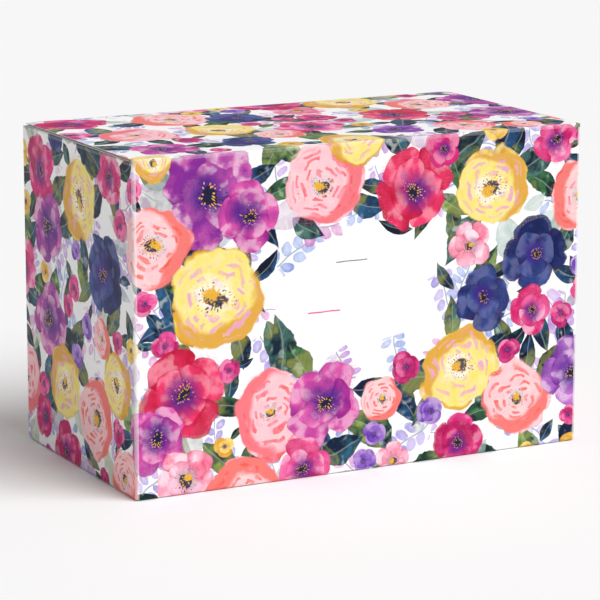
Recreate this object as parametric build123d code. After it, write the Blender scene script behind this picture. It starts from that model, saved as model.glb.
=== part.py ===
from build123d import *
import math
import os

# Decorated corrugated gift carton, straight-tuck top and snap-lock bottom.
# Units are millimetres. Origin: middle of the base. +X along the long side,
# the address (front) wall faces -Y, +Z is up.

# ---- driving dimensions ----
LENGTH = 305.0      # outside, along X (12 in)
DEPTH = 165.0       # outside, along Y (6.5 in)
HEIGHT = 203.0      # outside, along Z (8 in)
LINER = 0.25        # paper liner, each side
FLUTE = 1.1         # E-flute medium
BOARD = FLUTE + 2 * LINER
HALF = BOARD / 2
FOLD_R = 2.0        # outside radius of a closed fold
SCORE = 1.3         # panel edge to hinge axis, at a moving crease
LID_GAP = 0.3       # lid underside to dust flaps
LID_INSET = 0.5     # lid side edge inside the wall face
TUCK_DEPTH = 25.0   # tuck flap, axis to free edge
TUCK_LEAN = 12.0    # degrees, tuck flap leans into the box
TUCK_END = 6.0      # tuck flap end to carton end
TUCK_CORNER = 9.0
DUST_LENGTH = 72.0
DUST_FRONT0, DUST_SLOPE = 3.0, 0.62
DUST_BACK = 75.5
GLUE_WIDTH = 27.5
GLUE_FILM = 0.1
LAYER = 0.1         # air between stacked bottom flaps
SIDE_RAMP, BACK_RAMP = 8.0, 12.0
TONGUE_HALF = 45.0

X1, Y1 = LENGTH / 2, DEPTH / 2
LID_AXIS_Y, LID_AXIS_Z = -Y1 + HALF, HEIGHT - HALF
TUCK_AXIS_Y = Y1 - BOARD - 0.3 - HALF
DUST_AXIS_X = X1 - HALF
DUST_AXIS_Z = LID_AXIS_Z - BOARD - LID_GAP
WALL_TOP_FRONT = LID_AXIS_Z - SCORE
WALL_TOP_SIDE = DUST_AXIS_Z - SCORE
WALL_TOP_BACK = HEIGHT - 0.6
SHOULDER_Y = 76.5         # behind this the side walls rise past their crease, up to the lid
SHOULDER_TOP = 201.0
Z_MID = BOARD + LAYER            # underside of the side bottom flaps
Z_IN = 2 * (BOARD + LAYER)       # underside of the back bottom flap
Z_TONGUE = 3 * (BOARD + LAYER)   # underside of the tongue's end

PLIES = (("outer_liner", 0.0, LINER), ("fluting", LINER, LINER + FLUTE), ("inner_liner", LINER + FLUTE, BOARD))

os.makedirs("parts", exist_ok=True)
count = 0


def save(name, shape):
    global count
    shape.label = name
    export_step(shape, "parts/" + name + ".step")
    count += 1


def box(x0, x1, y0, y1, z0, z1):
    return Pos((x0 + x1) / 2, (y0 + y1) / 2, (z0 + z1) / 2) * Box(x1 - x0, y1 - y0, z1 - z0)


def plan(points, z0, z1):
    """A flat polygon in XY, raised from z0 to z1."""
    face = make_face(Polyline([(x, y) for x, y in points], close=True))
    return Pos(0, 0, z0) * extrude(face, amount=z1 - z0)


def along_x(profile, x0, x1):
    """A closed (y, z) profile drawn out from x0 to x1."""
    wire = Polyline([(x0, y, z) for y, z in profile], close=True)
    return extrude(make_face(wire), amount=x1 - x0, dir=(1, 0, 0))


def along_y(profile, y0, y1):
    """A closed (x, z) profile drawn out from y0 to y1."""
    wire = Polyline([(x, y0, z) for x, z in profile], close=True)
    return extrude(make_face(wire), amount=y1 - y0, dir=(0, 1, 0))


def quarter(r0, r1, length):
    """Quarter ring in the third quadrant of XY, drawn out along +Z."""
    ring = Cylinder(r1, length, align=(Align.CENTER, Align.CENTER, Align.MIN)) - Cylinder(
        r0, length, align=(Align.CENTER, Align.CENTER, Align.MIN))
    return ring & Pos(-r1 / 2, -r1 / 2, length / 2) * Box(r1, r1, length)


def bead_x(y, z, x0, x1, r=HALF):
    return Pos(x0, y, z) * Rot(0, 90, 0) * Cylinder(r, x1 - x0, align=(Align.CENTER, Align.CENTER, Align.MIN))


def bead_y(x, z, y0, y1, r=HALF):
    return Pos(x, y0, z) * Rot(-90, 0, 0) * Cylinder(r, y1 - y0, align=(Align.CENTER, Align.CENTER, Align.MIN))


# ---- four upright walls, three plies each ----
XC, YC = X1 - FOLD_R, Y1 - FOLD_R
XG = X1 - BOARD - GLUE_FILM        # outer face of the glue flap, as a distance from the middle
for ply, a, b in PLIES:
    save("front_wall_" + ply, box(-XC, XC, -Y1 + a, -Y1 + b, FOLD_R, WALL_TOP_FRONT))
    save("back_wall_" + ply, box(-XG + FOLD_R, XC, Y1 - b, Y1 - a, FOLD_R, WALL_TOP_BACK))
    save("right_wall_" + ply, box(X1 - b, X1 - a, -YC, YC, FOLD_R, WALL_TOP_SIDE)
         + box(X1 - b, X1 - a, SHOULDER_Y, YC, WALL_TOP_SIDE - 2.0, SHOULDER_TOP))
    save("left_wall_" + ply, box(-X1 + a, -X1 + b, -YC, Y1, FOLD_R, WALL_TOP_SIDE)
         + box(-X1 + a, -X1 + b, SHOULDER_Y, Y1, WALL_TOP_SIDE - 2.0, SHOULDER_TOP))
    # manufacturer's joint: a flap of the back wall, glued inside the left wall
    gz0, gz1 = 9.0, WALL_TOP_SIDE - 9.0
    glue = [(YC, gz0 - 4), (YC, gz1 + 4), (Y1 - GLUE_WIDTH, gz1 - 6), (Y1 - GLUE_WIDTH, gz0 + 6)]
    save("glue_flap_" + ply, along_x(glue, -XG + a, -XG + b))
save("glue_seam", box(-X1 + BOARD, -XG, Y1 - GLUE_WIDTH + 4, YC - 4, 20.0, WALL_TOP_SIDE - 18.0))

# ---- upright corner folds ----
ring = FOLD_R - BOARD
h = WALL_TOP_SIDE - 0.6
save("corner_fold_front_left", Pos(-XC, -YC, 0.6) * quarter(ring, FOLD_R, WALL_TOP_FRONT - 0.6))
save("corner_fold_front_right", Pos(XC, -YC, 0.6) * Rot(0, 0, 90) * quarter(ring, FOLD_R, WALL_TOP_FRONT - 0.6))
save("corner_fold_back_right", Pos(XC, YC, 0.6) * Rot(0, 0, 180) * quarter(ring, FOLD_R, h + SHOULDER_TOP - WALL_TOP_SIDE))
save("glue_flap_fold", Pos(-XG + FOLD_R, YC, 5.0) * Rot(0, 0, 270) * quarter(ring, FOLD_R, WALL_TOP_SIDE - 10.0))

# ---- lid, tuck flap, dust flaps ----
XL = X1 - LID_INSET
lean = math.radians(TUCK_LEAN)
for ply, a, b in PLIES:
    save("lid_" + ply, box(-XL, XL, LID_AXIS_Y + SCORE, TUCK_AXIS_Y - SCORE, HEIGHT - b, HEIGHT - a))
    # tuck flap, drawn hanging straight down from its crease, then leaned inwards
    xt, c = X1 - TUCK_END, TUCK_CORNER
    outline = [(-xt, -SCORE), (xt, -SCORE), (xt, -TUCK_DEPTH + c), (xt - 0.3 * c, -TUCK_DEPTH + 0.3 * c),
               (xt - c, -TUCK_DEPTH), (-xt + c, -TUCK_DEPTH), (-xt + 0.3 * c, -TUCK_DEPTH + 0.3 * c), (-xt, -TUCK_DEPTH + c)]
    flap = plan(outline, HALF - b, HALF - a)         # (x, s) in plan, board normal along Z
    flap = Rot(90, 0, 0) * flap                      # s down -Z, normal to -Y
    flap = Rot(0, 0, 180) * flap                     # normal to +Y
    save("tuck_flap_" + ply, Pos(0, TUCK_AXIS_Y, LID_AXIS_Z) * Rot(-TUCK_LEAN, 0, 0) * flap)
    for side, sx in (("left", -1), ("right", 1)):
        s0, s1 = SCORE, DUST_LENGTH
        pts = [(s0, LID_AXIS_Y + DUST_FRONT0 + DUST_SLOPE * s0), (s1 - 8, LID_AXIS_Y + DUST_FRONT0 + DUST_SLOPE * (s1 - 8)),
               (s1 - 1.5, LID_AXIS_Y + DUST_FRONT0 + DUST_SLOPE * (s1 - 8) + 7), (s1, LID_AXIS_Y + DUST_FRONT0 + DUST_SLOPE * (s1 - 8) + 14),
               (s1, DUST_BACK - 22), (s1 - 3, DUST_BACK - 13), (s1 - 12, DUST_BACK - 6), (s0 + 14, DUST_BACK), (s0, DUST_BACK)]
        pts = [(sx * (DUST_AXIS_X - s), y) for s, y in pts]
        save("dust_flap_" + side + "_" + ply, plan(pts, DUST_AXIS_Z + HALF - b, DUST_AXIS_Z + HALF - a))

save("lid_crease", bead_x(LID_AXIS_Y, LID_AXIS_Z, -XL, XL))
save("tuck_crease", bead_x(TUCK_AXIS_Y, LID_AXIS_Z, -X1 + TUCK_END, X1 - TUCK_END))
save("dust_crease_left", bead_y(-DUST_AXIS_X, DUST_AXIS_Z, LID_AXIS_Y + DUST_FRONT0, DUST_BACK))
save("dust_crease_right", bead_y(DUST_AXIS_X, DUST_AXIS_Z, LID_AXIS_Y + DUST_FRONT0, DUST_BACK))

# ---- snap-lock bottom: side flaps over the front flap, back flap over both, tongue over all ----
FRONT_EDGE, NOTCH_EDGE, LEG_EDGE = 4.0, 19.0, -12.0
for ply, a, b in PLIES:
    front = plan([(-149.0, -YC), (149.0, -YC), (141.8, -75.4), (120.0, FRONT_EDGE), (-120.0, FRONT_EDGE), (-141.8, -75.4)], a, b)
    tongue = along_x([(FRONT_EDGE - 0.5, a), (FRONT_EDGE, a), (18.0, Z_TONGUE + a), (36.0, Z_TONGUE + a),
                      (36.0, Z_TONGUE + b), (18.0, Z_TONGUE + b), (FRONT_EDGE, b), (FRONT_EDGE - 0.5, b)], -TONGUE_HALF, TONGUE_HALF)
    save("bottom_front_flap_" + ply, front + tongue)
    ye = YC - BACK_RAMP
    save("bottom_back_flap_" + ply, plan([(-140.0, ye), (-118.0, LEG_EDGE), (-56.0, LEG_EDGE), (-52.0, NOTCH_EDGE), (52.0, NOTCH_EDGE),
                                          (56.0, LEG_EDGE), (118.0, LEG_EDGE), (140.0, ye)], Z_IN + a, Z_IN + b))
    for side, sx in (("left", -1), ("right", 1)):
        xe = XC - SIDE_RAMP
        pts = [(xe, -75.0), (xe, 67.0), (96.0, 52.0), (62.0, 30.0), (60.0, 24.0), (60.0, -8.0), (64.0, -18.0), (74.0, -32.0), (100.0, -58.0)]
        save("bottom_" + side + "_flap_" + ply, plan([(sx * x, y) for x, y in pts], Z_MID + a, Z_MID + b))

# folds at the foot of each wall; the side and back ones ramp up to their layer
save("bottom_fold_front", Pos(-XC, -YC, FOLD_R) * Rot(0, 90, 0) * Rot(0, 0, 90) * quarter(ring, FOLD_R, 2 * XC))
back_ring = Pos(-XG + FOLD_R, YC, FOLD_R) * Rot(0, 90, 0) * Rot(0, 0, 180) * quarter(ring, FOLD_R, XC + XG - FOLD_R)
back_ramp = along_x([(YC + 0.05, 0), (YC + 0.05, BOARD), (YC, BOARD), (YC - BACK_RAMP, Z_IN + BOARD), (YC - BACK_RAMP, Z_IN), (YC, 0)], -140.0, 140.0)
save("bottom_fold_back", back_ring + back_ramp)
for side, sx in (("left", -1), ("right", 1)):
    turn = Rot(90, 0, 0)
    q = Pos(sx * XC, YC, FOLD_R) * turn * (quarter(ring, FOLD_R, 2 * YC) if sx < 0 else Rot(0, 0, 90) * quarter(ring, FOLD_R, 2 * YC))
    xs = [sx * (XC + 0.05), sx * XC, sx * (XC - SIDE_RAMP)]
    ramp = along_y([(xs[0], 0), (xs[0], BOARD), (xs[1], BOARD), (xs[2], Z_MID + BOARD), (xs[2], Z_MID), (xs[1], 0)], -75.0, 67.0)
    save("bottom_fold_" + side, q + ramp)

print(count, "nodes; lid axis", (LID_AXIS_Y, LID_AXIS_Z), "tuck axis", (TUCK_AXIS_Y, LID_AXIS_Z), "dust axis", (DUST_AXIS_X, DUST_AXIS_Z))
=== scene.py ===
import bpy
import math
import random
import numpy as np
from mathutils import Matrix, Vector


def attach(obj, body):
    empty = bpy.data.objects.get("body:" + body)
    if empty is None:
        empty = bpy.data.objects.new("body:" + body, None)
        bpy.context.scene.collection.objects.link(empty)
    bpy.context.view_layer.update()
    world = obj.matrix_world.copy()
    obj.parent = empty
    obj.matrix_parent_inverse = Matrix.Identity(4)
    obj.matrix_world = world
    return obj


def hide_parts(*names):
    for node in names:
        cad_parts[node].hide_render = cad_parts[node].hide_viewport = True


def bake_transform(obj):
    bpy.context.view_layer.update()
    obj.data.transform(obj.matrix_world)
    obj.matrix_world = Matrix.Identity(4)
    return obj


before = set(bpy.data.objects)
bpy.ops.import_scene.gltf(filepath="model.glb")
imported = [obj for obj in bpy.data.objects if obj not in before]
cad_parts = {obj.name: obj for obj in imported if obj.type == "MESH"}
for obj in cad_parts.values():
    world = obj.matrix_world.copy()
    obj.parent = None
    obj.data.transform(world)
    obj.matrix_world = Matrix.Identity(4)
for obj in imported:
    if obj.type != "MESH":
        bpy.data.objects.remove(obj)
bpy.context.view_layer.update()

# =====================================================================
# 1. sizes (millimetres here, metres when a mesh is made)
# =====================================================================
L2, D2, H = 152.5, 82.5, 203.0
LIN, FLU, BRD = 0.25, 1.1, 1.6
R0 = 2.0                                  # outside radius of a closed fold
LAX_Y, LAX_Z = -81.7, 202.2               # lid hinge axis
TAX_Y, TAX_Z = 79.8, 202.2                # tuck flap axis
DAX_X, DAX_Z = 151.7, 200.3               # dust flap axes
LEAN = math.radians(12.0)
CELL = 4.0                                # print cell on the blank
PITCH = 3.2                               # E-flute
XG = 150.8

# =====================================================================
# 2. the print: motifs laid out on the flat blank, p across and q up
# =====================================================================
rnd = random.Random(4711)
NB, NL, NS = 4, 4, 2                      # layers a cell can hold: blooms, leaves, sprigs
PMIN, PMAX, QMIN, QMAX = -336, 652, -172, 400


def lin(c):
    return tuple((x / 12.92 if x <= 0.04045 else ((x + 0.055) / 1.055) ** 2.4) for x in c)


def hexc(h):
    return lin(tuple(int(h[i:i + 2], 16) / 255 for i in (0, 2, 4)))


# light wash, deep pigment, petals, ring pattern, centre radius, gold in the centre, pale wash, centre ring
KINDS = {
    "poppy_red":   ("f23d72", "c00f38", 4, 0.0, 0.14, 0.25, 0.30),
    "poppy_pink":  ("f36fae", "cf1463", 4, 0.0, 0.14, 0.30, 0.55),
    "magenta":     ("ea2f8b", "ab0a4c", 4, 0.0, 0.13, 0.25, 0.30),
    "anemone":     ("d962b0", "862893", 4, 0.0, 0.18, 0.30, 0.55),
    "anemone_mag": ("de57ab", "9a1f8a", 4, 0.0, 0.16, 0.35, 0.45),
    "ranunculus":  ("f4dc45", "d9941f", 7, 1.0, 0.20, 0.65, 0.35),
    "peony":       ("f9bcc4", "ee5546", 6, 0.45, 0.16, 0.85, 0.70),
    "rose":        ("fbb6c4", "ee5560", 6, 0.45, 0.13, 0.75, 0.60),
    "palepoppy":   ("fac3d6", "ea5a80", 5, 0.0, 0.19, 0.62, 0.80),
    "navy":        ("34498f", "0b184e", 4, 0.0, 0.13, 0.40, 0.10),
    "violet":      ("c477cf", "77309f", 4, 0.0, 0.16, 0.35, 0.60),
    "bud":         ("ef4f9b", "a80d5a", 3, 0.0, 0.08, 0.30, 0.25),
    "bud_v":       ("b588d8", "6336ab", 3, 0.0, 0.08, 0.30, 0.30),
    "bud_y":       ("f7dc68", "dd9a2d", 3, 0.0, 0.08, 0.30, 0.25),
}
LEAF_COL = [("2b6270", "06162b"), ("447a4a", "082a2c"), ("24507c", "050f2a"), ("8fa850", "123c3c"), ("2a6076", "061a38"), ("4f7a70", "0a2234"), ("2f5f86", "07193a")]
PALE_COL = [("d3d7d3", "a3aeaa"), ("e3d3df", "c2a5c6"), ("c9d8d2", "8fb0a8"), ("d6dcc4", "9fb088"), ("cfd3da", "97a3b3")]
SPRIG_COL = [("cdbdec", "7f79cf"), ("dcc0ec", "a468c8"), ("bccbf0", "5f7cd0"), ("edbfe2", "c069b8")]

cells = {}                                # (i, j) -> {"b": [...], "l": [...], "s": [...]}


def cell(i, j):
    return cells.setdefault((i, j), {"b": [], "l": [], "s": []})


class Motif:
    def __init__(self, kind, p, q, ang, ln, wid, bend, a, b, par, seed, z):
        self.kind, self.p, self.q, self.ang, self.ln, self.wid, self.bend = kind, p, q, ang, ln, wid, bend
        self.a, self.b, self.par, self.seed, self.z = a, b, par, seed, z
        self.c, self.s = math.cos(ang), math.sin(ang)

    def uv(self, P, Q):
        x, y = P - self.p, Q - self.q
        return (x * self.c + y * self.s) / self.ln, (-x * self.s + y * self.c) / self.wid

    def touched(self):
        """Cells the motif may colour."""
        if self.kind == "b":
            r = self.ln * 1.22
            x0, x1, y0, y1 = self.p - r, self.p + r, self.q - r, self.q + r
        else:
            ex = [(self.p + self.c * u * self.ln - self.s * v * self.wid, self.q + self.s * u * self.ln + self.c * v * self.wid)
                  for u in (-0.08, 1.08) for v in (-1.7, 1.7)]
            x0, x1 = min(e[0] for e in ex), max(e[0] for e in ex)
            y0, y1 = min(e[1] for e in ex), max(e[1] for e in ex)
        out = []
        for i in range(int(math.floor(x0 / CELL)), int(math.floor(x1 / CELL)) + 1):
            for j in range(int(math.floor(y0 / CELL)), int(math.floor(y1 / CELL)) + 1):
                cx, cy = (i + 0.5) * CELL, (j + 0.5) * CELL
                if self.kind == "b":
                    if math.hypot(cx - self.p, cy - self.q) < self.ln * 1.22 + 2.9:
                        out.append((i, j))
                else:
                    u, v = self.uv(cx, cy)
                    mu, mv = 2.9 / self.ln, 2.9 / self.wid
                    if -0.06 - mu < u < 1.06 + mu and abs(v) < 1.62 + mv:
                        out.append((i, j))
        return out


motifs = []


def add_bloom(kind, p, q, r, force=True, z=None):
    a, b, n, ring, rc, gold, wash = KINDS[kind]
    m = Motif("b", p, q, rnd.uniform(0, 6.28), r, r, 0.0, hexc(a) + (gold,), hexc(b) + (wash,), (n, ring, rc), rnd.uniform(0.5, 9.5), z if z is not None else len(motifs))
    t = m.touched()
    if any(len(cell(*k)["b"]) >= NB for k in t):
        if not force:
            return None
        print("bloom overflow", kind, p, q)
        return None
    for k in t:
        cell(*k)["b"].append(m)
    motifs.append(m)
    return m


def add_leaf(p, q, ang, ln, wid, cols, alpha=1.0, pale=0.0):
    a, b = cols
    m = Motif("l", p, q, ang, ln, wid / 2, rnd.uniform(-0.55, 0.55), hexc(a) + (alpha,), hexc(b) + (pale,), (rnd.uniform(-0.5, 0.5), rnd.uniform(0.7, 1.0), 0.0), rnd.uniform(0.5, 9.5), len(motifs))
    m.par = (m.bend, m.par[1], 0.0)
    t = m.touched()
    most = NL if p < 155 and q < 203 else NL - 1      # the lid and the back are a little more open
    if any(len(cell(*k)["l"]) >= most for k in t) or not t:
        return None
    for k in t:
        cell(*k)["l"].append(m)
    motifs.append(m)
    return m


def add_sprig(p, q, ang, ln, wid, cols):
    a, b = cols
    m = Motif("s", p, q, ang, ln, wid / 2, rnd.uniform(-0.3, 0.3), hexc(a) + (1.0,), hexc(b) + (1.0,), (rnd.randint(3, 5), 0.0, 0.0), rnd.uniform(0.5, 9.5), len(motifs))
    m.par = (m.par[0], m.bend, 0.0)
    t = m.touched()
    if any(len(cell(*k)["s"]) >= NS for k in t):
        return None
    for k in t:
        cell(*k)["s"].append(m)
    motifs.append(m)
    return m


# the address area: a blank oval on the front wall
OV = (-5.0, 106.0, 55.0, 44.0)


def in_oval(p, q, grow=1.0):
    return ((p - OV[0]) / (OV[2] * grow)) ** 2 + ((q - OV[1]) / (OV[3] * grow)) ** 2 < 1


# blooms listed one by one: front wall, left wall, lid
PLACED = [
    # kind, p, q, radius
    ("anemone", -102, 178, 30), ("anemone_mag", -78, 165, 21), ("peony", -140, 150, 25), ("ranunculus", -100, 116, 31),
    ("bud", -133, 92, 9), ("poppy_red", -122, 60, 27), ("anemone_mag", -140, 36, 23), ("palepoppy", -120, 9, 20),
    ("rose", -62, 44, 27), ("anemone_mag", -28, 46, 27), ("poppy_pink", -42, 6, 20), ("ranunculus", 67, 57, 27),
    ("bud", 28, 62, 10), ("peony", 108, 33, 25), ("violet", 148, 45, 22), ("magenta", 66, 10, 18), ("bud_v", 46, 31, 9),
    ("rose", -28, 178, 26), ("poppy_red", 34, 172, 27), ("magenta", 54, 194, 13), ("ranunculus", 90, 168, 26),
    ("palepoppy", 73, 133, 16), ("navy", 120, 123, 23), ("peony", 153, 158, 23), ("poppy_pink", 135, 194, 15),
    ("ranunculus", -6, 210, 20), ("bud", 141, 84, 9), ("bud_v", 7, 22, 8), ("palepoppy", 20, 3, 13), ("bud", -146, 118, 8),
    ("magenta", -289, 176, 22), ("anemone", -281, 143, 23), ("ranunculus", -231, 167, 26), ("navy", -195, 127, 25),
    ("anemone", -280, 84, 24), ("ranunculus", -257, 49, 24), ("peony", -209, 37, 26), ("magenta", -255, 6, 20),
    ("poppy_pink", -318, 110, 18), ("rose", -318, 40, 22), ("bud", -240, 112, 9), ("bud_v", -222, 92, 8), ("poppy_pink", -186, 188, 17),
    ("magenta", -130, 345, 24), ("peony", -68, 333, 25), ("navy", -28, 322, 20), ("navy", -62, 234, 19), ("ranunculus", 64, 350, 25),
    ("poppy_red", 68, 288, 24), ("peony", 103, 322, 23), ("anemone", 137, 267, 25), ("poppy_pink", -2, 268, 22), ("rose", -112, 285, 24),
    ("anemone_mag", -120, 232, 20), ("ranunculus", -58, 282, 23), ("palepoppy", 20, 330, 18), ("magenta", 18, 300, 13),
    ("rose", 86, 230, 20), ("violet", 40, 236, 17), ("bud", -92, 255, 9), ("bud_y", 30, 262, 8),
]
for k, p, q, r in PLACED:
    add_bloom(k, p, q, r)


# seeded scatter on the rest of the blank
def on_blank(p, q):
    return (-320 <= p <= 640 and -2 <= q <= 205) or (-155 <= p <= 155 and -125 <= q <= 392) or \
        (-320 <= p <= 320 and -100 <= q <= 278) or (315 <= p <= 625 and -100 <= q <= 205)


def free_for_bloom(p, q, r, tight):
    for m in motifs:
        if m.kind == "b" and math.hypot(m.p - p, m.q - q) < (m.ln + r) * tight:
            return False
    if in_oval(p, q, 1.0 + r / 50.0):
        return False
    return True


names_big = ["poppy_red", "poppy_pink", "magenta", "anemone", "anemone_mag", "ranunculus", "peony", "rose", "palepoppy", "navy", "ranunculus", "peony", "violet"]
for r, tries, tight in ((26, 900, 0.88), (20, 1200, 0.9), (14, 1200, 0.92)):
    for _ in range(tries):
        p, q = rnd.uniform(-325, 640), rnd.uniform(-128, 392)
        if on_blank(p, q) and free_for_bloom(p, q, r, tight):
            add_bloom(rnd.choice(names_big), p, q, r * rnd.uniform(0.88, 1.12), force=False)
for _ in range(1500):
    p, q = rnd.uniform(-325, 640), rnd.uniform(-128, 392)
    if on_blank(p, q) and free_for_bloom(p, q, 8, 0.9):
        add_bloom(rnd.choice(["bud", "bud", "bud_v", "bud_y"]), p, q, rnd.uniform(6.5, 9.5), force=False)


def leaf_clear(p, q, ang, ln):
    for t in (0.4, 0.7, 1.0):
        if in_oval(p + math.cos(ang) * ln * t, q + math.sin(ang) * ln * t, 0.97):
            return False
    return True


def fill_leaf(p, q, ang, ln, wid, pale):
    if not leaf_clear(p, q, ang, ln):
        return
    if pale:
        add_leaf(p, q, ang, ln, wid, rnd.choice(PALE_COL), 0.75, 1.0)
    else:
        add_leaf(p, q, ang, ln, wid, rnd.choice(LEAF_COL), 1.0, 0.0)


# dark leaves listed one by one round the address area and the front's edges
for p, q, deg, ln, wid in [(-66, 100, -75, 40, 17), (-62, 104, 28, 24, 11), (-110, 30, -38, 42, 20), (-90, 12, -25, 34, 17), (-12, 60, 15, 34, 14),
                           (14, 52, -48, 40, 15), (92, 86, -62, 34, 15), (100, 182, 62, 26, 13), (112, 176, -35, 34, 14), (60, 162, -80, 34, 14),
                           (74, 96, 62, 42, 17), (24, 194, 70, 24, 12), (48, 150, -120, 26, 12), (-68, 190, 60, 30, 14), (-50, 160, -30, 26, 12),
                           (-150, 196, -20, 30, 14), (90, 60, 35, 34, 14), (130, 60, 100, 32, 14), (140, 12, -60, 26, 12), (-88, 78, -100, 28, 13),
                           (-230, 140, -80, 36, 15), (-212, 150, -20, 30, 13), (-245, 120, -110, 34, 14), (-190, 90, -70, 40, 16), (-170, 60, -60, 34, 14),
                           (-290, 120, -80, 34, 14), (-300, 70, -100, 36, 15), (-230, 20, -30, 30, 14), (-175, 160, 100, 34, 15)]:
    fill_leaf(p, q, math.radians(deg), ln, wid, False)
# leaves that grow out from under each bloom
for m in [x for x in motifs if x.kind == "b"]:
    big = m.ln > 12
    base = rnd.uniform(0, 6.28)
    for k in range(5 if big else 2):
        ang = base + k * 6.28 / (5 if big else 2) + rnd.uniform(-0.45, 0.45)
        rr = m.ln * rnd.uniform(0.55, 0.75)
        ln = rnd.uniform(24, 46) if big else rnd.uniform(12, 18)
        fill_leaf(m.p + math.cos(ang) * rr, m.q + math.sin(ang) * rr, ang + rnd.uniform(-0.4, 0.4), ln, ln * rnd.uniform(0.42, 0.60), rnd.random() < 0.22)
# leaves and pale strokes where the left and the front wall are still bare
def bare(p, q):
    got = cells.get((int(p // CELL), int(q // CELL)), {"b": [], "l": []})
    for m in got["b"]:
        if math.hypot(m.p - p, m.q - q) < m.ln * 0.92:
            return False
    for m in got["l"]:
        u, v = m.uv(p, q)
        if 0 < u < 1 and abs(v + m.bend * ((u - 0.5) ** 2 * 4 - 0.6)) < math.sin(math.pi * u ** 0.86):
            return False
    return True


for _ in range(4000):
    p, q = rnd.uniform(-318, 155), rnd.uniform(2, 200)
    if not in_oval(p, q, 1.28) and bare(p, q) and all(bare(p + 5.5 * math.cos(t), q + 5.5 * math.sin(t)) for t in (0.4, 1.97, 3.54, 5.11)):
        ang, ln = rnd.uniform(0, 6.28), rnd.uniform(17, 27)
        fill_leaf(p - math.cos(ang) * ln / 2, q - math.sin(ang) * ln / 2, ang, ln, ln * rnd.uniform(0.44, 0.60), rnd.random() < 0.33)
# sprigs
for p, q, deg, ln in [(-60, 132, 35, 34), (-44, 150, 10, 28), (52, 118, -70, 36), (62, 100, 60, 26), (128, 98, -60, 34), (136, 70, 70, 28), (72, 196, -10, 26),
                      (20, 82, -80, 26), (-20, 76, -60, 22), (-84, 134, 60, 20), (-165, 90, -80, 40), (-180, 70, -100, 36), (-210, 100, 60, 34)]:
    add_sprig(p, q, math.radians(deg), ln, 17, rnd.choice(SPRIG_COL))
for _ in range(2600):
    p, q = rnd.uniform(-325, 640), rnd.uniform(-128, 392)
    ang, ln = rnd.uniform(0, 6.28), rnd.uniform(22, 36)
    if on_blank(p, q) and leaf_clear(p, q, ang, ln) and not in_oval(p, q, 1.05):
        add_sprig(p, q, ang, ln, rnd.uniform(13, 19), rnd.choice(SPRIG_COL))
# loose leaves into what is still white
for _ in range(2600):
    p, q = rnd.uniform(-325, 640), rnd.uniform(-128, 392)
    ang, ln = rnd.uniform(0, 6.28), rnd.uniform(16, 28) * (1.2 if p < -155 else 1.0)
    if on_blank(p, q) and not in_oval(p, q, 1.05):
        mp, mq = p + math.cos(ang) * ln / 2, q + math.sin(ang) * ln / 2
        if len(cell(int(mp // CELL), int(mq // CELL))["l"]) == 0:
            fill_leaf(p, q, ang, ln, ln * rnd.uniform(0.36, 0.50), rnd.random() < (0.2 if p < -155 else 0.42))
print("motifs", len(motifs), {k: sum(m.kind == k for m in motifs) for k in "bls"})

# =====================================================================
# 3. meshes
# =====================================================================
MM = 0.001


def clip(poly, axis, lo, hi):
    """Cuts a polygon to lo <= point[axis] <= hi."""
    for sign, lim in ((1, lo), (-1, -hi)):
        out = []
        for k in range(len(poly)):
            a, b = poly[k - 1], poly[k]
            da, db = sign * a[axis] - lim, sign * b[axis] - lim
            if (da >= 0) != (db >= 0):
                t = da / (da - db)
                out.append((a[0] + (b[0] - a[0]) * t, a[1] + (b[1] - a[1]) * t))
            if db >= 0:
                out.append(b)
        poly = out
        if len(poly) < 3:
            return []
    return poly


def area2(poly):
    return sum(poly[k - 1][0] * poly[k][1] - poly[k][0] * poly[k - 1][1] for k in range(len(poly)))


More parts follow.
